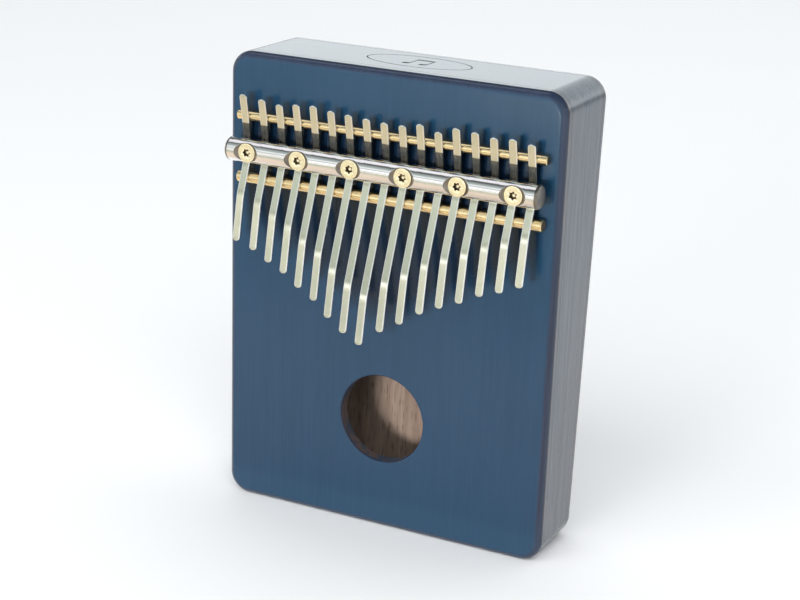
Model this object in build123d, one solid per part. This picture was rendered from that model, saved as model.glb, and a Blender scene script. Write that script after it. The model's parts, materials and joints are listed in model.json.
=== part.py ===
"""Seventeen-key box mbira (kalimba): hollow wooden body, clamped steel tines, two bridge rods.

X runs across the keys, Y runs from the front face into the body, Z runs up from the foot to the
head, where the tines are clamped.  The origin is the centre of the flat foot.  Millimetres.
"""
import os
from math import atan2, cos, degrees, radians, sin, tan

from build123d import *

# --- body -------------------------------------------------------------------------------------
body_height = 185.0
body_width = 140.5
foot_depth = 33.0
head_depth = 42.0
corner_radius = 8.6
edge_radius = 3.1
soundboard_thickness = 5.5
back_thickness = 5.0
wall_thickness = 10.0
cavity_corner_radius = 5.0

sound_hole_radius = 18.0
sound_hole_height = 46.3
sound_hole_edge_radius = 0.9

block_height = 34.0
block_depth = 18.0
hole_spare = 0.5

# --- bridge -----------------------------------------------------------------------------------
bar_height = 148.35
bar_radius = 4.65
bar_length = 130.6
bar_chamfer = 0.6
bar_gap = 2.85

front_rod_height = 136.4
front_rod_radius = 2.4
front_rod_length = 129.0

rear_rod_height = 160.7
rear_rod_radius = 1.9
rear_rod_length = 129.8

rod_chamfer = 0.3
groove_depth = 0.2

# --- tines ------------------------------------------------------------------------------------
tine_pitch = 7.46
tine_width = 3.2
tine_thickness = 1.0
tine_end_radius = 1.3
tine_edge_chamfer = 0.12

tail_angle = 12.0
key_angle = 20.3
tip_angle = 10.0
tip_length = 18.2
tip_bend_radius = 9.0

# Half tones above the longest tine, from the left: the notes go outwards left and right in turn.
tuning = [26, 23, 19, 16, 12, 9, 5, 2, 0, 4, 7, 11, 14, 17, 21, 24, 28]
longest_reach = 54.0
reach_correction = 1.6
tail_overhangs = [9.5, 8.5, 7.5, 8.5, 9.0, 8.0, 7.5, 7.0, 6.5, 6.5, 8.0, 6.0, 8.5, 8.0, 7.0, 7.5, 6.5]
# The tines are set by hand, so some stand a little beside their even places.
tine_drifts = [-0.8, -0.1, 0, 0, 0, 0.1, 0, 0.1, 0.1, 0.2, 0.1, 0, -0.1, 0, 0, 0, -0.1]

knuckle_clearance = 0.05
knuckle_spare = 1.0
key_clearance = 0.03
clamp_slack = 0.92

# --- screws -----------------------------------------------------------------------------------
screw_count = 6
screw_pitch = 22.3
screw_turn = 17.0
screw_sink = 0.8
screw_length = 26.0
screw_head_radius = 3.7
screw_rim = 0.5
screw_head_bevel = 0.15
screw_shank_radius = 1.75
screw_tip_length = 4.0
screw_tip_radius = 0.3
screw_hole_clearance = 0.02
bar_hole_radius = 2.0
lobe_count = 6
lobe_core_radius = 1.15
lobe_radius = 0.38
lobe_circle_radius = 1.25
lobe_depth = 1.5

# --- margins of the cutting and trimming shapes ------------------------------------------------
cut_margin = 1.0
wedge_margin = 10.0
trim_length = 200.0
trim_depth = 20.0
plan_margin = 0.001
edge_tolerance = 0.01

# --- derived places ---------------------------------------------------------------------------
front_y = -foot_depth / 2
board_back_y = front_y + soundboard_thickness
back_slope = (head_depth - foot_depth) / body_height
back_inset = back_thickness / cos(atan2(head_depth - foot_depth, body_height))
inner_width = body_width - 2 * wall_thickness
inner_height = body_height - 2 * wall_thickness

bar_y = front_y - bar_gap - bar_radius
bar_crown_y = bar_y - bar_radius
front_rod_y = front_y - front_rod_radius + groove_depth
rear_rod_y = front_y - rear_rod_radius + groove_depth
screw_top_y = bar_crown_y + screw_sink
screw_xs = [screw_pitch * (i - (screw_count - 1) / 2) for i in range(screw_count)]
tine_xs = [tine_pitch * (i - (len(tuning) - 1) / 2) + drift for i, drift in enumerate(tine_drifts)]


def facing_front(y, z=0.0, x=0.0):
    """Plane parallel to the front face, drawn with X to the right and Z up."""
    return Plane(origin=(x, y, z), x_dir=(1, 0, 0), z_dir=(0, -1, 0))


def slab(sketch, near_y, far_y, z=0.0, x=0.0):
    """Push a sketch drawn parallel to the front face through from near_y to far_y."""
    return extrude(facing_front(far_y, z, x) * sketch, amount=far_y - near_y)


def back_y(z, inset=0.0):
    """Depth of the sloping back face at a height, or of a plane inset from it."""
    return front_y + foot_depth + back_slope * z - inset


def side_wedge(near_y, inset):
    """Everything between a plane parallel to the front and one parallel to the sloping back."""
    low = -wedge_margin
    high = body_height + wedge_margin
    corners = [
        (near_y, low),
        (back_y(low, inset), low),
        (back_y(high, inset), high),
        (near_y, high),
    ]
    profile = Plane.YZ * make_face(Polyline(*corners, close=True))
    return extrude(profile, amount=body_width, both=True)


def rod_along_x(radius, length, chamfer_size, y, z):
    """Round bar across the body with both ends chamfered."""
    rod = Cylinder(radius, length, rotation=(0, 90, 0))
    rod = chamfer(rod.edges().filter_by(GeomType.CIRCLE), chamfer_size)
    return Pos(0, y, z) * rod


# --- wooden body ------------------------------------------------------------------------------
def make_blank():
    """Outer shape of the closed body, with its corners and edges rounded."""
    outline = RectangleRounded(body_width, body_height, corner_radius)
    prism = slab(outline, front_y, front_y + head_depth + wedge_margin, z=body_height / 2)
    blank = prism & side_wedge(front_y, 0.0)
    blank = fillet(blank.faces().sort_by(Axis.Y)[0].edges(), edge_radius)
    return fillet(blank.faces().sort_by(Axis.Y)[-1].edges(), edge_radius)


def screw_holes(near_y, far_y):
    """Six round holes for the screw shanks, as solids to cut away."""
    radius = screw_shank_radius + screw_hole_clearance
    return [slab(Circle(radius), near_y, far_y, z=bar_height, x=x) for x in screw_xs]


def make_soundboard(blank):
    """Front plate with the sound hole, two shallow rod grooves and six screw holes."""
    whole_front = Rectangle(2 * body_width, 2 * body_height)
    board = blank & slab(whole_front, front_y - cut_margin, board_back_y)
    board -= slab(
        Circle(sound_hole_radius), front_y - cut_margin, board_back_y + cut_margin, z=sound_hole_height
    )
    rim = board.edges().filter_by(GeomType.CIRCLE).filter_by(
        lambda edge: abs(edge.radius - sound_hole_radius) < edge_tolerance
    )
    board = fillet(rim.sort_by(Axis.Y)[:1], sound_hole_edge_radius)
    board -= rod_along_x(front_rod_radius, front_rod_length, rod_chamfer, front_rod_y, front_rod_height)
    board -= rod_along_x(rear_rod_radius, rear_rod_length, rod_chamfer, rear_rod_y, rear_rod_height)
    for hole in screw_holes(front_y - cut_margin, board_back_y + cut_margin):
        board -= hole
    return board


def make_side_frame(blank):
    """One frame routed from a plank: four walls and four rounded corners round the cavity."""
    frame = blank & side_wedge(board_back_y, back_inset)
    cavity = RectangleRounded(inner_width, inner_height, cavity_corner_radius)
    return frame - slab(cavity, front_y, front_y + head_depth, z=body_height / 2)


def make_back_board(blank):
    """Back plate, parallel to the sloping back face."""
    return blank - side_wedge(front_y - wedge_margin, back_inset)


def make_bridge_block():
    """Hardwood block inside the body that the screws bite into."""
    block = slab(
        Rectangle(inner_width, block_height), board_back_y, board_back_y + block_depth, z=bar_height
    )
    hole_end = screw_top_y + screw_length + hole_spare
    for hole in screw_holes(board_back_y - cut_margin, hole_end):
        block -= hole
    return block


# --- bridge hardware --------------------------------------------------------------------------
def make_screw():
    """Flat-head wood screw, drawn along its axis with the top of the head at zero."""
    cone_depth = screw_rim + screw_head_radius - screw_shank_radius
    profile = make_face(
        Polyline(
            (0, 0),
            (screw_head_radius - screw_head_bevel, 0),
            (screw_head_radius, -screw_head_bevel),
            (screw_head_radius, -screw_rim),
            (screw_shank_radius, -cone_depth),
            (screw_shank_radius, screw_tip_length - screw_length),
            (screw_tip_radius, -screw_length),
            (0, -screw_length),
            close=True,
        )
    )
    screw = revolve(Plane.XZ * profile, Axis.Z)
    recess = Circle(lobe_core_radius)
    for lobe in PolarLocations(lobe_circle_radius, lobe_count):
        recess += lobe * Circle(lobe_radius)
    return screw - extrude(recess, amount=-lobe_depth)


def make_bar_screws():
    """The six screws that pull the pressure bar down, each its own solid."""
    screws = []
    for i, x in enumerate(screw_xs):
        place = Pos(x, screw_top_y, bar_height) * Rot(90, 0, 0) * Rot(0, 0, screw_turn * i)
        screws.append(place * make_screw())
    return Compound(children=screws)


def make_pressure_bar():
    """Round bar with six countersunk holes."""
    bar = rod_along_x(bar_radius, bar_length, bar_chamfer, bar_y, bar_height)
    seat_depth = screw_rim + screw_sink
    mouth_radius = screw_head_radius + screw_hole_clearance + seat_depth
    seat = Cone(
        bottom_radius=bar_hole_radius,
        top_radius=mouth_radius + cut_margin,
        height=mouth_radius + cut_margin - bar_hole_radius,
        align=(Align.CENTER, Align.CENTER, Align.MAX),
    )
    for x in screw_xs:
        bar -= Pos(x, bar_crown_y - cut_margin, bar_height) * Rot(90, 0, 0) * seat
        bar -= slab(Circle(bar_hole_radius), bar_crown_y - cut_margin, front_y, z=bar_height, x=x)
    return bar


# --- tines ------------------------------------------------------------------------------------
def pivot_place():
    """Y and Z of the centre line right over the front rod, where a key flexes."""
    reach = front_rod_radius + tine_thickness / 2 + key_clearance
    angle = radians(key_angle)
    return front_rod_y - reach * cos(angle), front_rod_height + reach * sin(angle)


def rear_contact_place():
    """Y and Z of the centre line right over the rear rod."""
    reach = rear_rod_radius + tine_thickness / 2
    angle = radians(tail_angle)
    return rear_rod_y - reach * cos(angle), rear_rod_height - reach * sin(angle)


def tine_strip(path):
    """Sweep the tine's flat section along its centre line."""
    section = Plane(origin=path @ 0, x_dir=(1, 0, 0), z_dir=path % 0)
    corner = tine_edge_chamfer
    half_width = tine_width / 2
    half_thickness = tine_thickness / 2
    outline = Polyline(
        (-half_width + corner, -half_thickness),
        (half_width - corner, -half_thickness),
        (half_width, -half_thickness + corner),
        (half_width, half_thickness - corner),
        (half_width - corner, half_thickness),
        (-half_width + corner, half_thickness),
        (-half_width, half_thickness - corner),
        (-half_width, -half_thickness + corner),
        close=True,
    )
    return sweep(section * make_face(outline), path=path)


def end_trimmer(end, direction):
    """Solid to keep a tine inside, so that both corners of its free end come out rounded."""
    plan = RectangleRounded(tine_width + plan_margin, trim_length, tine_end_radius)
    plane = Plane(origin=end, x_dir=(1, 0, 0), z_dir=Vector(1, 0, 0).cross(direction))
    plan = Pos(0, -trim_length / 2, 0) * plan
    return extrude(plane * plan, amount=trim_depth, both=True)


def knuckle(x, radius):
    """Round pin along X at the place where a key flexes."""
    y, z = pivot_place()
    return Pos(x, y, z) * Cylinder(radius, tine_width + 2 * knuckle_spare, rotation=(0, 90, 0))


def make_tail(x, overhang):
    """Clamped part of a tine: over the rear rod, under the bar and up to the front rod."""
    pivot_y, pivot_z = pivot_place()
    rear_y, rear_z = rear_contact_place()
    low_y = bar_y + bar_radius + tine_thickness / 2
    rear_corner_z = rear_z - (low_y - rear_y) / tan(radians(tail_angle))
    front_corner_z = pivot_z + (low_y - pivot_y) / tan(radians(key_angle))
    end_z = rear_z + overhang
    end_y = rear_y - overhang * tan(radians(tail_angle))
    rear_bend = clamp_slack * (rear_corner_z - bar_height) / tan(radians(tail_angle / 2))
    front_bend = clamp_slack * (bar_height - front_corner_z) / tan(radians(key_angle / 2))
    path = FilletPolyline(
        (x, end_y, end_z),
        (x, low_y, rear_corner_z),
        (x, low_y, front_corner_z),
        (x, pivot_y, pivot_z),
        radius=[rear_bend, front_bend],
    )
    strip = tine_strip(path) & end_trimmer(path @ 0, (path % 0) * -1)
    return strip - knuckle(x, tine_thickness / 2 + knuckle_clearance)


def key_reach(half_tones):
    """Height of the pivot rod over a key's tip: the square root law of a vibrating strip."""
    return longest_reach * 2 ** (-half_tones / 24) - reach_correction


def make_key(x, half_tones):
    """Playing part of a tine: from the front rod down to its flattened tip."""
    pivot_y, pivot_z = pivot_place()
    tip_z = front_rod_height - key_reach(half_tones)
    bend_z = tip_z + tip_length * cos(radians(tip_angle))
    bend_y = pivot_y - (pivot_z - bend_z) * tan(radians(key_angle))
    tip_y = bend_y - tip_length * sin(radians(tip_angle))
    path = FilletPolyline(
        (x, pivot_y, pivot_z),
        (x, bend_y, bend_z),
        (x, tip_y, tip_z),
        radius=tip_bend_radius,
    )
    strip = tine_strip(path) & end_trimmer(path @ 1, path % 1)
    around = 2 * tine_width
    room = Pos(x, pivot_y, pivot_z) * Box(tine_width - 2 * tine_edge_chamfer, around, around)
    return strip + (knuckle(x, tine_thickness / 2) & room)


def write(name, shape):
    """Write one node's solid, or its group of solids, to its own file."""
    export_step(shape, os.path.join("parts", name + ".step"))


os.makedirs("parts", exist_ok=True)
blank = make_blank()
write("soundboard", make_soundboard(blank))
write("side_frame", make_side_frame(blank))
write("back_board", make_back_board(blank))
write("bridge_block", make_bridge_block())
write(
    "front_bridge_rod",
    rod_along_x(front_rod_radius, front_rod_length, rod_chamfer, front_rod_y, front_rod_height),
)
write(
    "rear_bridge_rod",
    rod_along_x(rear_rod_radius, rear_rod_length, rod_chamfer, rear_rod_y, rear_rod_height),
)
write("pressure_bar", make_pressure_bar())
write("bar_screws", make_bar_screws())
for number, (x, half_tones, overhang) in enumerate(zip(tine_xs, tuning, tail_overhangs), start=1):
    write(f"tine_{number:02d}_tail", make_tail(x, overhang))
    write(f"tine_{number:02d}_key", make_key(x, half_tones))
pivot_y, pivot_z = pivot_place()
print("key pivot y, z", round(pivot_y, 4), round(pivot_z, 4))
print("back face tilt", round(degrees(atan2(head_depth - foot_depth, body_height)), 4))
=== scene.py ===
"""The looks of a seventeen-key box mbira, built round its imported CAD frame.

X runs across the keys, Y from the front face into the body, Z up from the foot to the head.
Lengths are in metres, and each piece is built where it stands.
"""
import json
import math

import bmesh
import bpy
from mathutils import Matrix, Vector
from mathutils.geometry import tessellate_polygon


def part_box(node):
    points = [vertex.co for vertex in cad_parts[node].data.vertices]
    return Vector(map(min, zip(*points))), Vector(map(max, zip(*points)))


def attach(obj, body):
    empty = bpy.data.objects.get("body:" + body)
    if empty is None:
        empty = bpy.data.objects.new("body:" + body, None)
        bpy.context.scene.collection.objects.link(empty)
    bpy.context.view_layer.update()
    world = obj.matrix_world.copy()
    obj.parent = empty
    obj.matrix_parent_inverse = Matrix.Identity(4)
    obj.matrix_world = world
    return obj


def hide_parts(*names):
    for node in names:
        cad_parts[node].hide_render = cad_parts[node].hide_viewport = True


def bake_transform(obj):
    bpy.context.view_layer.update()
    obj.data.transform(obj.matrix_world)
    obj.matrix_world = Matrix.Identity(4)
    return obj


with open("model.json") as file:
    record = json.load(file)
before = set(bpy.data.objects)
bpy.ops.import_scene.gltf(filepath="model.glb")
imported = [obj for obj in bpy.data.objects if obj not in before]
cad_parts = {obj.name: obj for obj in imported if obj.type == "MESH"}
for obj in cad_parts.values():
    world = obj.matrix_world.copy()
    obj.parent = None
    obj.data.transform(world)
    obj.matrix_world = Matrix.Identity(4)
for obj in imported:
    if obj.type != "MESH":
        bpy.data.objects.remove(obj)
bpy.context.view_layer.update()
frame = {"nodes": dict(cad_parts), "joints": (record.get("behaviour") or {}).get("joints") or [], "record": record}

MM = 0.001

# --- wooden body ------------------------------------------------------------------------------
corner_radius = 8.6 * MM
edge_radius = 3.1 * MM
cavity_corner_radius = 5.0 * MM
seam_bevel = 0.12 * MM
sound_hole_radius = 18.0 * MM
sound_hole_height = 46.3 * MM
sound_hole_edge = 0.9 * MM
corner_steps = 14
side_steps = 8
edge_steps = 12
hole_steps = 128

# --- bridge hardware --------------------------------------------------------------------------
groove_depth = 0.2 * MM
rod_chamfer = 0.3 * MM
bar_chamfer = 0.6 * MM
turned_edge = 0.1 * MM
mouth_edge = 0.2 * MM
round_steps = 96
screw_count = 6
screw_head_radius = 3.7 * MM
screw_rim = 0.5 * MM
screw_shank_radius = 1.75 * MM
screw_root_radius = 1.2 * MM
screw_thread_pitch = 1.5 * MM
screw_tip_length = 4.0 * MM
screw_hole_radius = 1.77 * MM
screw_turn = 17.0
bar_hole_radius = 2.0 * MM
recess_outer_radius = 1.63 * MM
recess_inner_radius = 1.17 * MM
recess_depth = 1.0 * MM
recess_centre_radius = 0.85 * MM
recess_cone_height = 0.45 * MM
recess_cone_shoulder = 0.35 * MM
recess_cone_tip = 0.10 * MM

# --- tines ------------------------------------------------------------------------------------
tine_count = 17
tine_thickness = 1.0 * MM
tine_edge_radius = 0.42 * MM
tine_end_radius = 1.3 * MM
tail_angle = math.radians(12.0)
key_angle = math.radians(20.3)
tip_angle = math.radians(10.0)
tip_length = 18.2 * MM
tip_bend_radius = 22.0 * MM
clamp_slack = 0.92
tine_step = 0.6 * MM
arc_points = 7
dull_gap = 0.5 * MM
shade_fade = 13 * MM

# --- ornament on the head ---------------------------------------------------------------------
ornament_width = 44.0 * MM
ornament_depth = 21.0 * MM
ornament_line = 0.6 * MM
ornament_proud = 0.006 * MM
ornament_thickness = 0.06 * MM
ornament_shift = 1.5 * MM
note_gap = 7.0 * MM
note_drop = 4.2 * MM
note_width = 3.4 * MM
note_depth = 2.4 * MM
note_tilt = 0.35
stem_reach = 1.65 * MM
stem_width = 0.55 * MM
stem_height = 8.5 * MM
beam_width = 1.6 * MM

# --- places taken from the frame --------------------------------------------------------------
board_low, board_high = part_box("soundboard")
wall_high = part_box("side_frame")[1]
block_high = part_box("bridge_block")[1]
bar_low, bar_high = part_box("pressure_bar")
screws_low, screws_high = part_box("bar_screws")
body_half_width = board_high.x
body_height = board_high.z
front_y = board_low.y
board_back_y = board_high.y
cavity_half_width = block_high.x
wall_thickness = body_half_width - cavity_half_width
bar_radius = (bar_high.z - bar_low.z) / 2
bar_y = (bar_low.y + bar_high.y) / 2
bar_z = (bar_low.z + bar_high.z) / 2
back_rest = next(mount for mount in frame["record"]["mounts"] if mount["name"] == "back_rest")
joints = {joint["child"]: joint for joint in frame["joints"]}


def back_y(z):
    """Depth of the sloping back face at a height."""
    place = back_rest["pos_m"]
    direction = back_rest["axis"]
    return place[1] - (z - place[2]) * direction[2] / direction[1]


back_inset = back_y(wall_high.z) - wall_high.y
screw_sink = screws_low.y - bar_low.y
dull_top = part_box("rear_bridge_rod")[0].z - dull_gap


# --- mesh building ----------------------------------------------------------------------------
class Shape:
    """Points and faces of one mesh.  Each face has the number of its material."""

    def __init__(self):
        self.points = []
        self.faces = []
        self.slots = []

    def ring(self, points):
        """Add a loop of points and return their numbers."""
        first = len(self.points)
        self.points.extend(points)
        return list(range(first, len(self.points)))

    def face(self, numbers, slot=0):
        """Add one face."""
        self.faces.append(tuple(numbers))
        self.slots.append(slot)

    def bridge(self, near, far, slot=0):
        """Join two closed loops of the same length with a band of faces."""
        for i in range(len(near)):
            j = (i + 1) % len(near)
            self.face((near[i], near[j], far[j], far[i]), slot)

    def skin(self, loops, slot=0):
        """Join a row of closed loops, one after the other, and return their numbers."""
        rings = [self.ring(loop) for loop in loops]
        for near, far in zip(rings, rings[1:]):
            self.bridge(near, far, slot)
        return rings

    def pierced(self, outer, holes, slot=0):
        """Fill a flat outline that has holes in it."""
        loops = [outer, *holes]
        numbers = [number for loop in loops for number in loop]
        flat = [[Vector((self.points[n][0], self.points[n][2], 0)) for n in loop] for loop in loops]
        for corners in tessellate_polygon(flat):
            self.face([numbers[corner] for corner in corners], slot)

    def build(self, name, *materials, sharp_angle=40.0):
        """Make the object: faces turned outwards, shaded smooth except across sharp edges."""
        mesh = bpy.data.meshes.new(name)
        mesh.from_pydata(self.points, [], self.faces)
        for material in materials:
            mesh.materials.append(material)
        mesh.polygons.foreach_set("material_index", self.slots)
        work = bmesh.new()
        work.from_mesh(mesh)
        bmesh.ops.remove_doubles(work, verts=work.verts, dist=0.0005 * MM)
        bmesh.ops.recalc_face_normals(work, faces=work.faces)
        work.to_mesh(mesh)
        work.free()
        mesh.shade_smooth()
        mesh.set_sharp_from_angle(angle=math.radians(sharp_angle))
        made = bpy.data.objects.new(name, mesh)
        bpy.context.scene.collection.objects.link(made)
        weighted = made.modifiers.new("weighted_normals", "WEIGHTED_NORMAL")
        weighted.keep_sharp = True
        return made


def rounded_loop(half_width, low, high, radius):
    """Rounded rectangle as (x, z) pairs, anticlockwise from its lower right corner."""
    centres = [
        (half_width - radius, low + radius),
        (half_width - radius, high - radius),
        (radius - half_width, high - radius),
        (radius - half_width, low + radius),
    ]
    arcs = []
    for quarter, (x, z) in enumerate(centres):
        turns = [math.pi / 2 * (quarter - 1 + step / corner_steps) for step in range(corner_steps + 1)]
        arcs.append([(x + radius * math.cos(turn), z + radius * math.sin(turn)) for turn in turns])
    loop = []
    for arc, following in zip(arcs, arcs[1:] + arcs[:1]):
        (x0, z0), (x1, z1) = arc[-1], following[0]
        loop += arc
        loop += [
            (x0 + (x1 - x0) * step / side_steps, z0 + (z1 - z0) * step / side_steps)
            for step in range(1, side_steps)
        ]
    return loop


def round_loop(radius, count=hole_steps, x=0.0, z=0.0):
    """Circle as (x, z) pairs."""
    turns = [2 * math.pi * i / count for i in range(count)]
    return [(x + radius * math.cos(turn), z + radius * math.sin(turn)) for turn in turns]


def body_outline(inset=0.0):
    """Outline of the body seen from the front, moved inwards by an inset."""
    return rounded_loop(body_half_width - inset, inset, body_height - inset, corner_radius - inset)


def cavity_outline():
    """Outline of the hollow inside."""
    return rounded_loop(
        cavity_half_width, wall_thickness, body_height - wall_thickness, cavity_corner_radius
    )


def at_depth(loop, y):
    """Stand a loop up parallel to the front face."""
    return [(x, y, z) for x, z in loop]


def at_back(loop, inset):
    """Stand a loop up on a plane parallel to the sloping back face."""
    return [(x, back_y(z) - inset, z) for x, z in loop]


def quarter_round(steps=edge_steps):
    """Pairs (inset, depth) of a unit roundover, from its face to its side."""
    turns = [math.pi / 2 * step / steps for step in range(steps + 1)]
    return [(1 - math.sin(turn), 1 - math.cos(turn)) for turn in turns]


def soften(profile, amount):
    """Replace each inner corner of an open outline with a small round."""
    points = [Vector(point) for point in profile]
    made = [points[0]]
    for before, corner, after in zip(points, points[1:], points[2:]):
        start = corner + (before - corner).normalized() * amount
        end = corner + (after - corner).normalized() * amount
        made += [start, start / 4 + corner / 2 + end / 4, end]
    made.append(points[-1])
    return made


# --- node materials ---------------------------------------------------------------------------
# Noise cells for each metre along the lines of a drawn metal.
long_way = 12


class Finish:
    """A material with one Principled shader and short calls for the nodes that feed it."""

    def __init__(self, name, **settings):
        self.material = bpy.data.materials.new(name)
        self.material.use_nodes = True
        self.tree = self.material.node_tree
        self.shader = self.tree.nodes["Principled BSDF"]
        self.coordinates = self.node("ShaderNodeTexCoord").outputs["Object"]
        for socket, value in settings.items():
            self.shader.inputs[socket.replace("_", " ").title()].default_value = value

    def node(self, kind, **attributes):
        """Add a node."""
        made = self.tree.nodes.new(kind)
        for name, value in attributes.items():
            setattr(made, name, value)
        return made

    def feed(self, socket, value):
        """Give an input a link or a plain value."""
        if isinstance(value, bpy.types.NodeSocket):
            self.tree.links.new(value, socket)
        else:
            socket.default_value = value

    def stretched(self, scale):
        """Object coordinates in metres, scaled along each axis."""
        mapping = self.node("ShaderNodeMapping")
        self.feed(mapping.inputs["Vector"], self.coordinates)
        self.feed(mapping.inputs["Scale"], scale)
        return mapping.outputs["Vector"]

    def noise(self, scale, detail=2.0, roughness=0.5, distortion=0.0):
        """Noise with its own number of cells for each metre along each axis."""
        texture = self.node("ShaderNodeTexNoise")
        self.feed(texture.inputs["Vector"], self.stretched(scale))
        self.feed(texture.inputs["Scale"], 1.0)
        self.feed(texture.inputs["Detail"], detail)
        self.feed(texture.inputs["Roughness"], roughness)
        self.feed(texture.inputs["Distortion"], distortion)
        return texture.outputs["Fac"]

    def span(self, value, low, high, to_low=0.0, to_high=1.0):
        """Map a value from one span to another, smoothly and without going past its ends."""
        remap = self.node("ShaderNodeMapRange", interpolation_type="SMOOTHSTEP")
        self.feed(remap.inputs["Value"], value)
        limits = {"From Min": low, "From Max": high, "To Min": to_low, "To Max": to_high}
        for socket, number in limits.items():
            self.feed(remap.inputs[socket], number)
        return remap.outputs["Result"]

    def maths(self, operation, first, second):
        """One arithmetic node."""
        node = self.node("ShaderNodeMath", operation=operation)
        self.feed(node.inputs[0], first)
        self.feed(node.inputs[1], second)
        return node.outputs["Value"]

    def times(self, first, *others):
        """Product of two or more values."""
        for other in others:
            first = self.maths("MULTIPLY", first, other)
        return first

    def axes(self):
        """X, Y and Z of the shaded point, in metres."""
        separate = self.node("ShaderNodeSeparateXYZ")
        self.feed(separate.inputs["Vector"], self.coordinates)
        return [separate.outputs[axis] for axis in "XYZ"]

    def blend(self, share, first, second):
        """Mix two colours."""
        mix = self.node("ShaderNodeMix", data_type="RGBA")
        self.feed(mix.inputs["Factor"], share)
        self.feed(mix.inputs[6], first)
        self.feed(mix.inputs[7], second)
        return mix.outputs[2]

    def bump(self, height, distance, strength):
        """Turn a height from 0 to 1 into a surface normal."""
        node = self.node("ShaderNodeBump")
        self.feed(node.inputs["Height"], height)
        self.feed(node.inputs["Distance"], distance)
        self.feed(node.inputs["Strength"], strength)
        return node.outputs["Normal"]

    def set(self, **sockets):
        """Feed the shader's own inputs."""
        for name, value in sockets.items():
            self.feed(self.shader.inputs[name.replace("_", " ").title()], value)
        return self.material


def rgb(red, green, blue):
    """Opaque linear colour."""
    return (red, green, blue, 1.0)


def skin_depth(finish):
    """Depth of a point below the nearer of the front and back faces."""
    _, depth, height = finish.axes()
    slope = (back_y(body_height) - back_y(0)) / body_height
    back = finish.maths("ADD", finish.times(height, slope), back_y(0))
    from_front = finish.maths("SUBTRACT", depth, front_y)
    return finish.maths("MINIMUM", from_front, finish.maths("SUBTRACT", back, depth))


def under_tines(finish):
    """Share of painted shade on the front face beneath the keys, where little light reaches it."""
    signed_across, depth, height = finish.axes()
    across = finish.maths("ABSOLUTE", signed_across, 0.0)
    middle_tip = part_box("tine_09_key")[0].z
    outer_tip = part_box("tine_17_key")[0]
    slope = (outer_tip.z - middle_tip) / outer_tip.x
    rise = finish.maths("SUBTRACT", height, finish.times(across, slope))
    past_tips = finish.span(rise, middle_tip - 1 * MM, middle_tip + shade_fade)
    between_sides = finish.span(across, outer_tip.x, outer_tip.x + 8 * MM, 1.0, 0.0)
    below_rod = finish.span(height, dull_top, dull_top + shade_fade, 1.0, 0.0)
    on_front = finish.span(depth, front_y + 0.5 * MM, front_y + 2.5 * MM, 1.0, 0.0)
    return finish.times(past_tips, between_sides, below_rod, on_front)


def dyed_wood():
    """Wood dyed blue under a thin satin lacquer.

    The dye is darkest in the rounded edges, thin on the sides, and rubbed through along their rim. The sides, head
    and foot are paler, partly from the thin dye and partly from a painted sheen, and the front face has a painted
    shade beneath the keys.
    """
    finish = Finish("dyed_wood")
    streaks = finish.noise((420, 420, 9), detail=3)
    fibres = finish.noise((2300, 2300, 45), detail=2)
    pores = finish.span(finish.noise((2600, 2600, 190), detail=1), 0.62, 0.74)
    clouds = finish.noise((26, 26, 12), detail=2)
    grain = finish.maths("ADD", finish.times(streaks, 0.4), finish.times(fibres, 0.6))
    light_grain = finish.span(grain, 0.36, 0.66)
    depth = skin_depth(finish)
    face = finish.blend(light_grain, rgb(0.005, 0.025, 0.052), rgb(0.008, 0.030, 0.061))
    face = finish.blend(finish.span(clouds, 0.35, 0.7, 0.0, 0.3), face, rgb(0.009, 0.032, 0.064))
    # Painted shade: the front face is darkened beneath the keys, where they shade it.
    face = finish.blend(finish.times(under_tines(finish), 0.8), face, rgb(0.002, 0.005, 0.013))
    # Paler grey sides, head and foot: partly thin dye, partly a painted sheen of bright reflections.
    side = finish.blend(light_grain, rgb(0.050, 0.070, 0.095), rgb(0.120, 0.135, 0.160))
    side = finish.blend(finish.span(clouds, 0.35, 0.7, 0.0, 0.4), side, rgb(0.100, 0.098, 0.110))
    edge = finish.blend(light_grain, rgb(0.011, 0.018, 0.036), rgb(0.018, 0.027, 0.052))
    base = finish.blend(finish.span(depth, 0.02 * MM, 0.30 * MM), face, edge)
    base = finish.blend(finish.span(depth, edge_radius - 0.5 * MM, edge_radius), base, side)
    base = finish.blend(finish.times(pores, 0.35), base, rgb(0.008, 0.026, 0.055))
    near = finish.span(depth, edge_radius - 0.25 * MM, edge_radius)
    far = finish.span(depth, edge_radius + 0.1 * MM, edge_radius + 0.4 * MM, 1.0, 0.0)
    patches = finish.span(finish.noise((300, 300, 60), detail=2), 0.42, 0.6)
    base = finish.blend(finish.times(near, far, patches, 0.7), base, rgb(0.24, 0.105, 0.070))
    height = finish.maths("SUBTRACT", fibres, finish.times(pores, 0.8))
    return finish.set(
        base_color=base,
        roughness=finish.span(grain, 0.3, 0.7, 0.13, 0.18),
        normal=finish.bump(height, 0.008 * MM, 0.5),
    )


def bare_wood():
    """Undyed reddish wood, as the inside of the body and the bridge block are."""
    finish = Finish("bare_wood")
    streaks = finish.noise((300, 300, 7), detail=3, distortion=0.3)
    fibres = finish.noise((1700, 1700, 40), detail=2)
    pores = finish.span(finish.noise((1500, 1500, 120), detail=1), 0.58, 0.68)
    base = finish.blend(finish.span(streaks, 0.3, 0.7), rgb(0.17, 0.118, 0.092), rgb(0.27, 0.205, 0.165))
    base = finish.blend(finish.times(fibres, 0.35), base, rgb(0.16, 0.108, 0.080))
    base = finish.blend(finish.times(pores, 0.6), base, rgb(0.075, 0.046, 0.032))
    return finish.set(
        base_color=base,
        roughness=finish.span(fibres, 0.3, 0.7, 0.62, 0.82),
        normal=finish.bump(finish.maths("SUBTRACT", fibres, pores), 0.05 * MM, 0.7),
    )


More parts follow.
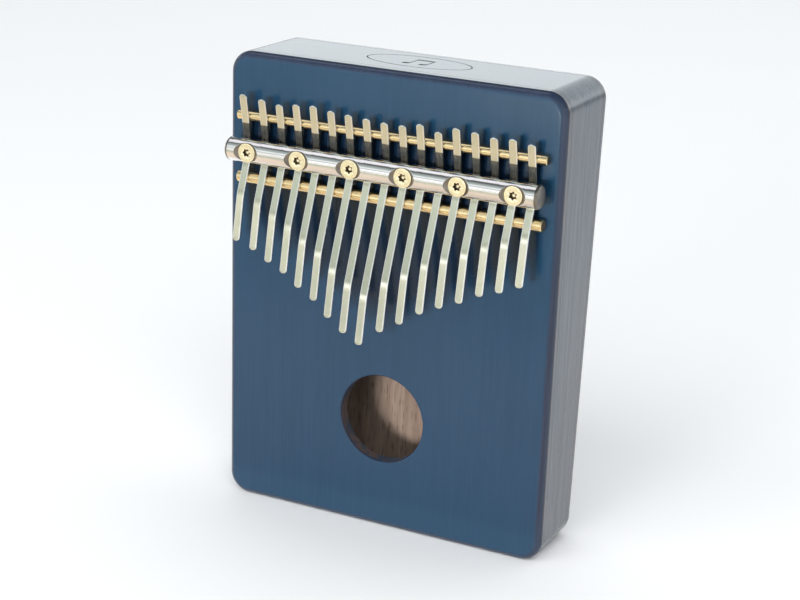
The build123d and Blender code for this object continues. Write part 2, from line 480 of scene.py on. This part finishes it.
def seam_wood():
    """Wood at the glued seams, where the dye is sanded thin."""
    finish = Finish("seam_wood")
    patches = finish.noise((350, 350, 90), detail=3)
    thin_dye = finish.span(patches, 0.38, 0.62)
    base = finish.blend(thin_dye, rgb(0.010, 0.034, 0.066), rgb(0.085, 0.058, 0.052))
    return finish.set(base_color=base, roughness=finish.span(patches, 0.3, 0.7, 0.4, 0.6))


def brushed(finish, lines, colour, shade, roughness):
    """Colour and roughness of metal with fine lines and faint stains."""
    stains = finish.noise((180, 180, 180), detail=3)
    base = finish.blend(finish.span(stains, 0.35, 0.7), rgb(*colour), rgb(*shade))
    from_lines = finish.span(lines, 0.3, 0.7, roughness * 0.75, roughness * 1.15)
    from_stains = finish.span(stains, 0.4, 0.75, 0.0, roughness * 0.25)
    return base, finish.maths("ADD", from_lines, from_stains)


def drawn_metal(name, colour, shade, roughness, grain, depth, along="z", metallic=1.0):
    """Polished metal with fine lengthwise lines.  The lines run along X or Z."""
    finish = Finish(name, metallic=metallic)
    scale = (long_way, grain, grain) if along == "x" else (grain, grain, long_way)
    lines = finish.noise(scale, detail=3, roughness=0.6)
    base, rough = brushed(finish, lines, colour, shade, roughness)
    return finish.set(base_color=base, roughness=rough, normal=finish.bump(lines, depth, 0.6))


def spring_steel(name, colour, shade, roughness):
    """Tine steel: polished, but dull and dark on the tails between the bar and the rear rod."""
    finish = Finish(name, metallic=1.0)
    lines = finish.noise((1800, 1800, long_way), detail=3, roughness=0.6)
    base, rough = brushed(finish, lines, colour, shade, roughness)
    height = finish.axes()[2]
    above_bar = finish.span(height, bar_z, bar_z + 1.0 * MM)
    below_rod = finish.span(height, dull_top - 0.3 * MM, dull_top + 0.1 * MM, 1.0, 0.0)
    dull = finish.times(above_bar, below_rod)
    dark_lines = finish.span(lines, 0.40, 0.62)
    # Darker, duller colour on the tails between the bar and the rear rod.
    dull_dark_colour = finish.blend(dark_lines, rgb(0.15, 0.15, 0.14), rgb(0.20, 0.195, 0.18))
    return finish.set(
        base_color=finish.blend(dull, base, dull_dark_colour),
        roughness=finish.maths("ADD", rough, finish.times(dull, 0.12)),
        normal=finish.bump(lines, 0.006 * MM, 0.6),
    )


def ornament_ink():
    """Dark branded line on the head."""
    finish = Finish("ornament_ink")
    patches = finish.noise((900, 900, 900), detail=2)
    base = finish.blend(patches, rgb(0.012, 0.012, 0.016), rgb(0.035, 0.033, 0.036))
    return finish.set(base_color=base, roughness=finish.span(patches, 0.3, 0.7, 0.45, 0.65))


dyed = dyed_wood()
bare = bare_wood()
seam = seam_wood()
bar_steel = drawn_metal("bar_steel", (0.92, 0.90, 0.88), (0.88, 0.86, 0.84), 0.13, 1500, 0.004 * MM, "x")
# Rougher drilled and cut steel for the holes, the lip of each mouth and the bar's ends, painted dark as shade.
bore_steel = drawn_metal("bore_steel", (0.34, 0.31, 0.28), (0.20, 0.18, 0.16), 0.35, 900, 0.01 * MM)
tine_steel = spring_steel("tine_steel", (0.73, 0.73, 0.58), (0.68, 0.69, 0.54), 0.15)
# The rim steel is a paler, whiter copy of the tine steel for the rounded edges and ends: a painted highlight.
rim_steel = spring_steel("rim_steel", (0.95, 0.95, 0.93), (0.90, 0.90, 0.87), 0.22)
rod_brass = drawn_metal("rod_brass", (0.98, 0.78, 0.45), (0.93, 0.72, 0.40), 0.13, 1700, 0.0006 * MM, "x")
screw_brass = drawn_metal(
    "screw_brass", (0.95, 0.84, 0.60), (0.91, 0.77, 0.50), 0.19, 900, 0.004 * MM, metallic=0.85
)
sawn_brass = drawn_metal("sawn_brass", (0.50, 0.36, 0.20), (0.40, 0.28, 0.15), 0.40, 900, 0.004 * MM)
# Very dark brass for the recess walls: painted shade in the recess, with a little dirt.
recess_brass = drawn_metal("recess_brass", (0.16, 0.12, 0.06), (0.05, 0.04, 0.03), 0.45, 900, 0.004 * MM)
ink = ornament_ink()

# Each shape's materials, by number.  Number 0 is its outer skin.
wood = (dyed, bare, seam)
INSIDE, SEAM = 1, 2
BORE = 1
FLAT, RIM = range(2)


def place(piece, slot_name, *nodes):
    """Let a rigid piece of the body stand for its CAD nodes."""
    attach(piece, "body")
    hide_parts(*nodes)
    return piece


# --- wooden body ------------------------------------------------------------------------------
def screw_xs():
    """Places of the six screws across the bar."""
    first = screws_low.x + screw_head_radius
    last = screws_high.x - screw_head_radius
    return [first + (last - first) * i / (screw_count - 1) for i in range(screw_count)]


def groove(shape, rod):
    """Shallow trough that a rod lies in.  Returns its rim on the front face."""
    low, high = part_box(rod)
    radius = (high.z - low.z) / 2
    middle = (high.z + low.z) / 2
    half_turn = math.acos(1 - groove_depth / radius)
    turns = [half_turn * (step / 4 - 1) for step in range(9)]
    ends = []
    for x in (low.x, high.x):
        ends.append(shape.ring([
            (x, low.y + radius + radius * math.cos(turn), middle + radius * math.sin(turn)) for turn in turns
        ]))
    left, right = ends
    for i in range(len(turns) - 1):
        shape.face((left[i], left[i + 1], right[i + 1], right[i]))
    shape.face(left)
    shape.face(right)
    return [left[0], right[0], right[-1], left[-1]]


def make_soundboard():
    """Front plate: rounded outer edge, sound hole with a softened rim, rod grooves and screw holes."""
    shape = Shape()
    loops = [
        at_depth(body_outline(edge_radius * inset), front_y + edge_radius * depth)
        for inset, depth in quarter_round()
    ]
    loops.append(at_depth(body_outline(), board_back_y - seam_bevel))
    edge = shape.skin(loops)
    back = shape.ring(at_depth(body_outline(seam_bevel), board_back_y))
    shape.bridge(edge[-1], back, SEAM)

    def hole_loop(radius, y):
        return at_depth(round_loop(radius, z=sound_hole_height), y)

    loops = [
        hole_loop(sound_hole_radius + sound_hole_edge * inset, front_y + sound_hole_edge * depth)
        for inset, depth in quarter_round()
    ]
    hole = shape.skin(loops)
    bore = shape.skin([
        hole_loop(sound_hole_radius, front_y + sound_hole_edge),
        hole_loop(sound_hole_radius, board_back_y - seam_bevel),
        hole_loop(sound_hole_radius + seam_bevel, board_back_y),
    ], SEAM)
    front_rims = [hole[0]]
    back_rims = [bore[-1]]
    for x in screw_xs():
        loop = round_loop(screw_hole_radius, 24, x, bar_z)
        rims = shape.skin([at_depth(loop, front_y), at_depth(loop, board_back_y)], INSIDE)
        front_rims.append(rims[0])
        back_rims.append(rims[1])
    front_rims += [groove(shape, "front_bridge_rod"), groove(shape, "rear_bridge_rod")]
    shape.pierced(edge[0], front_rims)
    shape.pierced(back, back_rims, INSIDE)
    return shape.build("soundboard_dyed", *wood)


def make_side_frame():
    """Four walls round the hollow, from the soundboard to the sloping back board."""
    shape = Shape()
    near = shape.ring(at_depth(body_outline(seam_bevel), board_back_y))
    outer = shape.skin([
        at_depth(body_outline(), board_back_y + seam_bevel),
        at_back(body_outline(), back_inset + seam_bevel),
    ])
    far = shape.ring(at_back(body_outline(seam_bevel), back_inset))
    hollow = cavity_outline()
    cavity = shape.skin([at_back(hollow, back_inset), at_depth(hollow, board_back_y)], INSIDE)
    shape.bridge(near, outer[0], SEAM)
    shape.bridge(outer[1], far, SEAM)
    shape.bridge(far, cavity[0], INSIDE)
    shape.bridge(cavity[1], near, INSIDE)
    return shape.build("side_frame_dyed", *wood)


def make_back_board():
    """Back plate, with its outer edge rounded like the front."""
    shape = Shape()
    near = shape.ring(at_back(body_outline(seam_bevel), back_inset))
    loops = [at_back(body_outline(), back_inset - seam_bevel)]
    loops += [
        at_back(body_outline(edge_radius * inset), edge_radius * depth)
        for inset, depth in reversed(quarter_round())
    ]
    rings = shape.skin(loops)
    shape.bridge(near, rings[0], SEAM)
    shape.face(near, INSIDE)
    shape.face(rings[-1])
    return shape.build("back_board_dyed", *wood)


# --- bridge hardware --------------------------------------------------------------------------
def make_rod(name, node):
    """Brass rod with softened chamfers at both ends."""
    low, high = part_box(node)
    radius = (high.z - low.z) / 2
    y = (low.y + high.y) / 2
    z = (low.z + high.z) / 2
    outline = [
        (low.x, 0.0),
        (low.x, radius - rod_chamfer),
        (low.x + rod_chamfer, radius),
        (high.x - rod_chamfer, radius),
        (high.x, radius - rod_chamfer),
        (high.x, 0.0),
    ]
    shape = Shape()
    loops = []
    for x, reach in soften(outline, turned_edge)[1:-1]:
        loops.append([(x, y + out, z + up) for up, out in round_loop(reach, round_steps)])
    rings = shape.skin(loops)
    shape.face(rings[0], BORE)
    shape.face(rings[-1], BORE)
    return shape.build(name, rod_brass, sawn_brass)


class DrilledBar:
    """Round bar with a countersunk hole for each screw, meshed as a grid with a patch at each hole."""

    patch_turns = 18
    patch_columns = 24
    patch_rings = 4
    patch_half_length = 6.2 * MM
    countersink_radius = screw_head_radius + 0.02 * MM + screw_rim + screw_sink

    def __init__(self):
        self.shape = Shape()
        self.turn = 2 * math.pi / round_steps

    def surface(self, x, height, side):
        """Point of the bar's skin at a height above its axis, on the front (-1) or back (1) side."""
        y = bar_y + side * math.sqrt(max(bar_radius**2 - height**2, 0.0))
        return (x, y, bar_z + height)

    def columns(self, x):
        """Places along the bar of the grid lines round one hole."""
        reach = self.patch_half_length
        count = self.patch_columns
        return [x + reach * (2 * step / count - 1) for step in range(count + 1)]

    def square(self, x):
        """Rim of one patch as (x, height above the axis)."""
        turns = self.patch_turns
        heights = [bar_radius * math.sin(self.turn * step) for step in range(-turns, turns + 1)]
        columns = self.columns(x)
        rim = [(columns[-1], height) for height in heights[:-1]]
        rim += [(column, heights[-1]) for column in columns[:0:-1]]
        rim += [(columns[0], height) for height in heights[:0:-1]]
        rim += [(column, heights[0]) for column in columns[:-1]]
        return rim

    def mouth(self, turn):
        """Distance from a screw's axis at which its countersink meets the bar's skin."""
        low, high = bar_hole_radius, self.countersink_radius
        for _ in range(40):
            middle = (low + high) / 2
            sunk = bar_radius - math.sqrt(max(bar_radius**2 - (middle * math.sin(turn)) ** 2, 0.0))
            if middle + sunk < self.countersink_radius:
                low = middle
            else:
                high = middle
        return low

    def drill(self, x):
        """Both patches of one hole and the walls between them."""
        shape = self.shape
        rim = self.square(x)
        turns = [math.atan2(height, column - x) for column, height in rim]
        crown = bar_y - bar_radius
        front_skin, wall = [], []
        for turn, corner in zip(turns, rim):
            reach = self.mouth(turn)
            front_skin.append((turn, reach + mouth_edge, corner))
            wall.append((turn, reach))

        def spot(turn, reach):
            return (x + reach * math.cos(turn), reach * math.sin(turn))

        def cone(turn, reach):
            column, height = spot(turn, reach)
            return (column, crown + self.countersink_radius - reach, bar_z + height)

        def patch(reaches, side):
            loops = []
            for ring in range(self.patch_rings + 1):
                share = (ring / self.patch_rings) ** 1.4
                loop = []
                for turn, reach, (column, height) in reaches:
                    near = spot(turn, reach)
                    loop.append(self.surface(
                        near[0] + (column - near[0]) * share, near[1] + (height - near[1]) * share, side
                    ))
                loops.append(loop)
            return shape.skin(loops)[0]

        front_ring = patch(front_skin, -1)
        sharp = [Vector(self.surface(*spot(turn, reach), -1)) for turn, reach in wall]
        below = [Vector(cone(turn, reach - mouth_edge)) for turn, reach in wall]
        above = [Vector(shape.points[number]) for number in front_ring]
        rounded = [a / 4 + s / 2 + b / 4 for a, s, b in zip(above, sharp, below)]
        loops = [rounded, below]
        for share in (0.33, 0.66):
            loops.append([
                cone(turn, reach - mouth_edge + (bar_hole_radius - reach + mouth_edge) * share)
                for turn, reach in wall
            ])
        loops.append([cone(turn, bar_hole_radius) for turn in turns])
        bore = [spot(turn, bar_hole_radius) for turn in turns]
        back_rim = [Vector(self.surface(*point, 1)) for point in bore]
        loops.append([point - Vector((0, turned_edge, 0)) for point in back_rim])
        # The lip, countersink and bore take the dark bore steel: a painted shade, with a thin shade line round the
        # mouth.
        rings = shape.skin([tuple(map(tuple, loop)) for loop in loops], BORE)
        shape.bridge(front_ring, rings[0], BORE)
        back_skin = [(turn, bar_hole_radius + turned_edge, corner) for turn, corner in zip(turns, rim)]
        shape.bridge(rings[-1], patch(back_skin, 1))

    def grid(self, columns, first_turn, last_turn):
        """Part of the plain skin, between two angles from the front."""
        rows = []
        for step in range(first_turn, last_turn + 1):
            turn = self.turn * step
            y, z = bar_y - bar_radius * math.cos(turn), bar_z + bar_radius * math.sin(turn)
            rows.append(self.shape.ring([(x, y, z) for x in columns]))
        for near, far in zip(rows, rows[1:]):
            for i in range(len(columns) - 1):
                self.shape.face((near[i], near[i + 1], far[i + 1], far[i]))

    def end(self, side):
        """Softened chamfer and flat face at one end."""
        tip = bar_high.x if side > 0 else bar_low.x
        outline = [
            (tip - side * 2 * bar_chamfer, bar_radius),
            (tip - side * bar_chamfer, bar_radius),
            (tip, bar_radius - bar_chamfer),
            (tip, 0.0),
        ]
        turns = [self.turn * step for step in range(round_steps)]
        loops = []
        for x, reach in soften(outline, 2 * turned_edge)[:-1]:
            loops.append([
                (x, bar_y - reach * math.cos(turn), bar_z + reach * math.sin(turn)) for turn in turns
            ])
        # The chamfers and end faces take the dark bore steel, painted dark as shade.
        rings = self.shape.skin(loops, BORE)
        self.shape.face(rings[-1], BORE)

    def make(self):
        """The whole bar."""
        reach = self.patch_half_length
        turns = self.patch_turns
        half = round_steps // 2
        edge = bar_low.x + 2 * bar_chamfer
        for x in screw_xs():
            self.drill(x)
            columns = self.columns(x)
            self.grid(columns, turns, half - turns)
            self.grid(columns, half + turns, round_steps - turns)
            gap = [edge + (x - reach - edge) * step / 6 for step in range(7)]
            self.grid(gap, 0, round_steps)
            edge = x + reach
        last = bar_high.x - 2 * bar_chamfer
        self.grid([edge + (last - edge) * step / 6 for step in range(7)], 0, round_steps)
        self.end(-1)
        self.end(1)
        return self.shape.build("pressure_bar_polished", bar_steel, bore_steel)


def recess_reach(turn):
    """Distance of the six-lobe recess's wall from the screw's axis."""
    middle = (recess_outer_radius + recess_inner_radius) / 2
    swing = (recess_outer_radius - recess_inner_radius) / 2
    return middle + swing * math.cos(6 * turn)


def make_screw(number, x):
    """Flat-head wood screw with a six-lobe recess and a rolled thread."""
    top = screws_low.y
    length = screws_high.y - top
    twist = math.radians(screw_turn * number)
    turns = [2 * math.pi * i / round_steps for i in range(round_steps)]

    def loop(depth, reach):
        made = []
        for turn in turns:
            distance = reach(turn) if callable(reach) else reach
            angle = turn + twist
            across, up = distance * math.cos(angle), distance * math.sin(angle)
            made.append((x + across, top + depth, bar_z + up))
        return made

    def lobes(grown, shrink=1.0):
        return lambda turn: recess_reach(turn) * shrink + grown

    shape = Shape()
    soft = 0.08 * MM
    pit = shape.skin([
        loop(recess_depth - recess_cone_height, recess_cone_tip),
        loop(recess_depth - recess_cone_shoulder, recess_centre_radius * 0.55),
        loop(recess_depth, recess_centre_radius),
    ])
    # The recess walls take the dark recess brass: painted shade, with a little dirt.
    shape.skin([
        loop(recess_depth, recess_centre_radius),
        loop(recess_depth + soft, recess_centre_radius + soft),
        loop(recess_depth + soft, lobes(-soft, 0.92)),
        loop(recess_depth - soft, lobes(0.0, 0.96)),
        loop(soft, lobes(0.0)),
    ], BORE)
    loops = [
        loop(soft, lobes(0.0)),
        loop(soft * 0.3, lobes(soft * 0.3)),
        loop(0.0, lobes(soft)),
        loop(0.0, (recess_outer_radius + screw_head_radius) / 2),
    ]
    cone_depth = screw_rim + screw_head_radius - screw_shank_radius
    outline = [
        (0.0, screw_head_radius - 0.5 * MM),
        (0.0, screw_head_radius - 0.22 * MM),
        (0.13 * MM, screw_head_radius),
        (screw_rim, screw_head_radius),
        (cone_depth, screw_shank_radius),
        (cone_depth + 0.6 * MM, screw_shank_radius),
    ]
    loops += [loop(depth, reach) for depth, reach in soften(outline, 0.06 * MM)]
    start = cone_depth + 0.9 * MM
    steps = int((length - start) / (screw_thread_pitch / 8))
    for step in range(steps + 1):
        depth = start + (length - start) * step / steps
        taper = min(1.0, max(length - depth, 0.12 * MM) / screw_tip_length)
        grow = min(1.0, (depth - start) / screw_thread_pitch)

        def thread(turn, depth=depth, taper=taper, grow=grow):
            phase = (depth / screw_thread_pitch - turn / (2 * math.pi)) % 1.0
            ridge = max(0.0, 1 - abs(phase - 0.5) * 3.2)
            full = screw_root_radius + (screw_shank_radius - screw_root_radius) * ridge
            return (screw_shank_radius + (full - screw_shank_radius) * grow) * taper

        loops.append(loop(depth, thread))
    rings = shape.skin(loops)
    shape.face(pit[0])
    shape.face(rings[-1])
    return shape.build(f"bar_screw_{number + 1}", screw_brass, recess_brass, sharp_angle=55.0)


# --- tines ------------------------------------------------------------------------------------
class BentLine:
    """Centre line of a tine in the Y-Z plane: straight runs joined by arcs."""

    def __init__(self, corners, radii):
        corners = [Vector(corner) for corner in corners]
        self.pieces = []
        self.length = 0.0
        start = corners[0]
        for before, corner, after, radius in zip(corners, corners[1:], corners[2:], radii):
            arriving = (corner - before).normalized()
            leaving = (after - corner).normalized()
            turn = arriving.angle_signed(leaving)
            reach = radius * math.tan(abs(turn) / 2)
            self.run(start, corner - arriving * reach)
            self.pieces.append((self.length, "arc", corner - arriving * reach, arriving, radius, turn))
            self.length += radius * abs(turn)
            start = corner + leaving * reach
        self.run(start, corners[-1])

    def run(self, start, end):
        """Add a straight run."""
        self.pieces.append((self.length, "run", start, (end - start).normalized(), None, None))
        self.length += (end - start).length

    def at(self, distance):
        """Point and direction at a distance along the line."""
        reached = [piece for piece in self.pieces if piece[0] <= distance + 1e-9]
        first, kind, start, direction, radius, turn = reached[-1]
        along = distance - first
        if kind == "run":
            return start + direction * along, direction
        share = math.copysign(along / radius, turn)
        side = Vector((direction.y, -direction.x)) * math.copysign(1.0, turn)
        here = start + (direction * math.sin(abs(share)) + side * (1 - math.cos(share))) * radius
        rotated = direction * math.cos(share) + side * math.sin(abs(share))
        return here, rotated


def tine_section(half_width, half_thickness):
    """Section of a tine as (across, through): a flat strip with well rounded long edges."""
    radius = min(tine_edge_radius, half_width * 0.98, half_thickness * 0.98)
    section = []
    for quarter, (side, face) in enumerate(((1, -1), (1, 1), (-1, 1), (-1, -1))):
        for step in range(arc_points):
            turn = math.pi / 2 * (quarter - 1 + step / (arc_points - 1))
            section.append((
                side * (half_width - radius) + radius * math.cos(turn),
                face * (half_thickness - radius) + radius * math.sin(turn),
            ))
    return section


def section_edges():
    """For each side of the section, whether it belongs to a rounded long edge and not to a flat face."""
    flat_sides = (2 * arc_points - 1, 4 * arc_points - 1)
    return [i not in flat_sides for i in range(4 * arc_points)]


def end_stations():
    """Rounded end as (distance from the tip, loss of half width, loss of half thickness)."""
    made = []
    edge = 0.35 * MM
    for step in range(13):
        turn = math.pi / 2 * step / 12
        distance = tine_end_radius * (1 - math.cos(turn))
        width_loss = tine_end_radius * (1 - math.sin(turn))
        near = max(edge - distance, 0.0)
        made.append((distance, width_loss, edge - math.sqrt(edge**2 - near**2)))
    return made


def tine_path(tail, key, pivot):
    """Centre line of one tine from its tail end over both rods to its tip."""
    tail_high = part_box(tail)[1]
    key_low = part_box(key)[0]
    rear_low, rear_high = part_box("rear_bridge_rod")
    half = tine_thickness / 2
    rod_reach = (rear_high.z - rear_low.z) / 2 + half
    rear_y = (rear_low.y + rear_high.y) / 2 - rod_reach * math.cos(tail_angle)
    rear_z = (rear_low.z + rear_high.z) / 2 - rod_reach * math.sin(tail_angle)
    low_y = bar_high.y + half
    rear_corner = rear_z - (low_y - rear_y) / math.tan(tail_angle)
    front_corner = pivot.z + (low_y - pivot.y) / math.tan(key_angle)
    end_z = tail_high.z - half * math.sin(tail_angle)
    tip_z = key_low.z + half * math.sin(tip_angle)
    bend_z = tip_z + tip_length * math.cos(tip_angle)
    bend_y = pivot.y - (pivot.z - bend_z) * math.tan(key_angle)
    corners = [
        (rear_y - (end_z - rear_z) * math.tan(tail_angle), end_z),
        (low_y, rear_corner),
        (low_y, front_corner),
        (bend_y, bend_z),
        (bend_y - tip_length * math.sin(tip_angle), tip_z),
    ]
    radii = [
        clamp_slack * (rear_corner - bar_z) / math.tan(tail_angle / 2),
        clamp_slack * (bar_z - front_corner) / math.tan(key_angle / 2),
        tip_bend_radius,
    ]
    return BentLine(corners, radii)


def make_tine(number):
    """One springy strip: over the rear rod, under the bar and over the front rod to its tip."""
    tail = f"tine_{number:02d}_tail"
    key = f"tine_{number:02d}_key"
    low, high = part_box(key)
    x = (low.x + high.x) / 2
    half_width = (high.x - low.x) / 2
    pivot = Vector(joints[f"key_{number:02d}"]["pos_m"])
    line = tine_path(tail, key, pivot)
    ends = end_stations()
    middle = line.length - 2 * tine_end_radius
    steps = int(middle / tine_step)
    stations = list(ends)
    stations += [(tine_end_radius + middle * step / steps, 0.0, 0.0) for step in range(1, steps)]
    stations += [(line.length - distance, narrow, thin) for distance, narrow, thin in reversed(ends)]
    loops = []
    for distance, narrow, thin in stations:
        (y, z), (along_y, along_z) = line.at(distance)
        section = tine_section(half_width - narrow, tine_thickness / 2 - thin)
        loops.append([
            (x + across, y + through * along_z, z - through * along_y) for across, through in section
        ])
    shape = Shape()
    rings = [shape.ring(loop) for loop in loops]
    # Rounded long edges and ends take the paler rim steel, a painted highlight.
    for (near, far), (_, _, thin) in zip(zip(rings, rings[1:]), stations):
        for i, rounded in enumerate(section_edges()):
            j = (i + 1) % len(near)
            shape.face((near[i], near[j], far[j], far[i]), RIM if rounded or thin > 0 else FLAT)
    shape.face(rings[0], RIM)
    shape.face(rings[-1], RIM)
    made = shape.build(f"tine_{number:02d}", tine_steel, rim_steel)
    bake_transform(made)
    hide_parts(tail, key)
    return made


# --- ornament ---------------------------------------------------------------------------------
def flat_print(shape, outline):
    """Thin flat prism on the head from an outline of (x, y) pairs."""
    top = body_height + ornament_proud
    low = shape.ring([(x, y, top - ornament_thickness) for x, y in outline])
    high = shape.ring([(x, y, top) for x, y in outline])
    shape.bridge(low, high)
    return low, high


def oval(width, depth, x=0.0, y=0.0, tilt=0.0, count=96):
    """Ellipse as (x, y) pairs."""
    made = []
    for i in range(count):
        turn = 2 * math.pi * i / count
        across = width / 2 * math.cos(turn)
        up = depth / 2 * math.sin(turn)
        made.append((
            x + across * math.cos(tilt) - up * math.sin(tilt),
            y + across * math.sin(tilt) + up * math.cos(tilt),
        ))
    return made


def make_ornament():
    """Plain oval line with a pair of joined notes in it."""
    shape = Shape()
    centre = (front_y + back_y(body_height)) / 2 + ornament_shift
    inside = 2 * ornament_line
    outer = flat_print(shape, oval(ornament_width, ornament_depth, 0, centre))
    inner = flat_print(shape, oval(ornament_width - inside, ornament_depth - inside, 0, centre))
    for near, far in zip(outer, inner):
        shape.bridge(near, far)

    def box(low_x, low_y, high_x, high_y):
        return [(low_x, low_y), (high_x, low_y), (high_x, high_y), (low_x, high_y)]

    head_y = centre - note_drop
    top_y = head_y + stem_height
    rights = [side * note_gap / 2 + stem_reach for side in (-1, 1)]
    outlines = []
    for right in rights:
        outlines.append(oval(note_width, note_depth, right - stem_reach, head_y, note_tilt, 40))
        outlines.append(box(right - stem_width, head_y, right, top_y))
    outlines.append(box(rights[0] - stem_width, top_y - beam_width, rights[1], top_y))
    for outline in outlines:
        for ring in flat_print(shape, outline):
            shape.face(ring)
    return shape.build("head_ornament", ink)


place(make_soundboard(), "dyed_wood", "soundboard")
place(make_side_frame(), "dyed_wood", "side_frame")
place(make_back_board(), "dyed_wood", "back_board")
place(make_rod("front_rod_brass", "front_bridge_rod"), "brass", "front_bridge_rod")
place(make_rod("rear_rod_brass", "rear_bridge_rod"), "brass", "rear_bridge_rod")
place(DrilledBar().make(), "bar_steel", "pressure_bar")
for number, x in enumerate(screw_xs()):
    place(make_screw(number, x), "brass_plate", "bar_screws")
for number in range(1, tine_count + 1):
    make_tine(number)
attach(make_ornament(), "body")

block = frame["nodes"]["bridge_block"]
block.data.materials.clear()
block.data.materials.append(bare)


# --- floor, light and camera ------------------------------------------------------------------
def lay(name, low, high, height, paper):
    """Flat matt rectangle of the studio."""
    (low_x, low_y), (high_x, high_y) = low, high
    corners = [(low_x, low_y), (high_x, low_y), (high_x, high_y), (low_x, high_y)]
    mesh = bpy.data.meshes.new(name)
    mesh.from_pydata([(x, y, height) for x, y in corners], [], [(0, 1, 2, 3)])
    mesh.materials.append(paper)
    sheet = bpy.data.objects.new(name, mesh)
    bpy.context.scene.collection.objects.link(sheet)
    return sheet


def matt(name):
    """Matt finish with no gloss at all."""
    finish = Finish(name, roughness=0.9)
    finish.shader.inputs["Specular IOR Level"].default_value = 0.0
    return finish


def make_floor():
    """Plain pale floor."""
    finish = matt("floor_white")
    cloud = finish.noise((2, 2, 2), detail=2)
    white = finish.blend(cloud, rgb(0.86, 0.86, 0.87), rgb(0.88, 0.88, 0.89))
    floor = lay("floor", (-12.0, -12.0), (12.0, 12.0), 0, finish.set(base_color=white))


def make_card():
    """Warm card on the floor before the body, darker further out.  Only the object's gloss shows it."""
    finish = matt("card_paper")
    near = finish.span(finish.axes()[1], -0.42, -0.16)
    warm = finish.blend(near, rgb(0.40, 0.40, 0.32), rgb(0.74, 0.61, 0.50))
    card = lay("card", (-1.0, -0.95), (0.5, -0.035), 0.002, finish.set(base_color=warm))
    card.visible_camera = False
    card.visible_diffuse = False
    card.visible_shadow = False


def panel(name, stand, aim, width, height, brightness, colour=(1, 1, 1), diffuse=True, glossy=True):
    """Soft rectangular light that no camera sees.  Brightness is how bright its face looks.

    A lamp with glossy False only lights matt surfaces, and one with diffuse False only shows in gloss.
    """
    lamp = bpy.data.lights.new(name, "AREA")
    lamp.shape = "RECTANGLE"
    lamp.size = width
    lamp.size_y = height
    lamp.color = colour
    lamp.energy = brightness * math.pi * width * height
    made = bpy.data.objects.new(name, lamp)
    made.location = stand
    made.rotation_mode = "QUATERNION"
    made.rotation_quaternion = (Vector(aim) - Vector(stand)).to_track_quat("-Z", "Y")
    made.visible_camera = False
    made.visible_diffuse = diffuse
    made.visible_glossy = glossy
    bpy.context.scene.collection.objects.link(made)


def make_world():
    """Pale walls round the floor and a dark ceiling, which comes lower at the back."""
    world = bpy.data.worlds.new("studio")
    bpy.context.scene.world = world
    world.use_nodes = True
    tree = world.node_tree
    background = tree.nodes["Background"]
    direction = tree.nodes.new("ShaderNodeTexCoord").outputs["Generated"]
    split = tree.nodes.new("ShaderNodeSeparateXYZ")
    ramp = tree.nodes.new("ShaderNodeValToRGB")
    tree.links.new(direction, split.inputs["Vector"])
    lean = tree.nodes.new("ShaderNodeMath")
    lean.operation = "MULTIPLY_ADD"
    lean.inputs[1].default_value = 0.15
    tree.links.new(split.outputs["Y"], lean.inputs[0])
    tree.links.new(split.outputs["Z"], lean.inputs[2])
    tree.links.new(lean.outputs["Value"], ramp.inputs["Fac"])
    tree.links.new(ramp.outputs["Color"], background.inputs["Color"])
    stops = [
        (0.04, rgb(1.02, 1.02, 0.97)),
        (0.18, rgb(0.44, 0.49, 0.48)),
        (0.30, rgb(1.08, 1.15, 1.18)),
        (0.46, rgb(0.46, 0.52, 0.53)),
        (0.62, rgb(0.36, 0.42, 0.41)),
        (0.74, rgb(0.12, 0.13, 0.14)),
    ]
    elements = ramp.color_ramp.elements
    elements[0].position, elements[0].color = stops[0]
    elements[1].position, elements[1].color = stops[-1]
    for position, colour in stops[1:-1]:
        elements.new(position).color = colour


def make_camera():
    """Camera to the right of the front and above it, at the length of a short telephoto lens."""
    azimuth = math.radians(24.472)
    elevation = math.radians(19.308)
    roll = math.radians(2.637)
    level = math.cos(elevation)
    back = Vector((math.sin(azimuth) * level, -math.cos(azimuth) * level, math.sin(elevation)))
    data = bpy.data.cameras.new("camera")
    data.sensor_width = 36.0
    data.lens = 81.19
    data.shift_x = -0.0674
    data.shift_y = 0.0474
    data.clip_start = 0.01
    data.clip_end = 60.0
    camera = bpy.data.objects.new("camera", data)
    camera.rotation_mode = "QUATERNION"
    camera.location = (0.2989, -0.6073, 0.3135)
    upright = back.to_track_quat("Z", "Y")
    camera.rotation_quaternion = upright @ Matrix.Rotation(roll, 3, "Z").to_quaternion()
    bpy.context.scene.collection.objects.link(camera)
    bpy.context.scene.camera = camera


make_floor()
make_card()
make_world()
make_camera()
centre = (0, 0, body_height / 2)
panel("backdrop", (0.0, 2.4, 0.85), (0, 0, 0.3), 4.4, 1.0, 0.8, (0.93, 0.98, 1.0), diffuse=False)
panel("ceiling", (0, 1.6, 2.4), (0, 1.6, 0), 4.4, 3.0, 1.25, glossy=False)
panel("front_ceiling", (0.0, -1.9, 2.4), (0, 0.3, 0), 4.0, 1.6, 2.6, glossy=False)
panel("key", (1.4, -1.5, 1.6), centre, 1.0, 1.0, 3.2, (1.0, 0.99, 0.97), glossy=False)
panel("window", (-0.10, -1.2, 0.11), (0, 0, 0.12), 0.34, 0.18, 98.0, glossy=False)
panel("overhead", (-0.42, -0.02, 1.10), centre, 0.5, 0.5, 0.88, (0.96, 0.95, 1.0), diffuse=False)
panel("front_strip", (-0.28, -1.0, 0.27), (0, 0, 0.15), 0.52, 0.13, 0.84, (0.70, 0.72, 1.0), diffuse=False)
bpy.context.scene.view_settings.view_transform = "Standard"
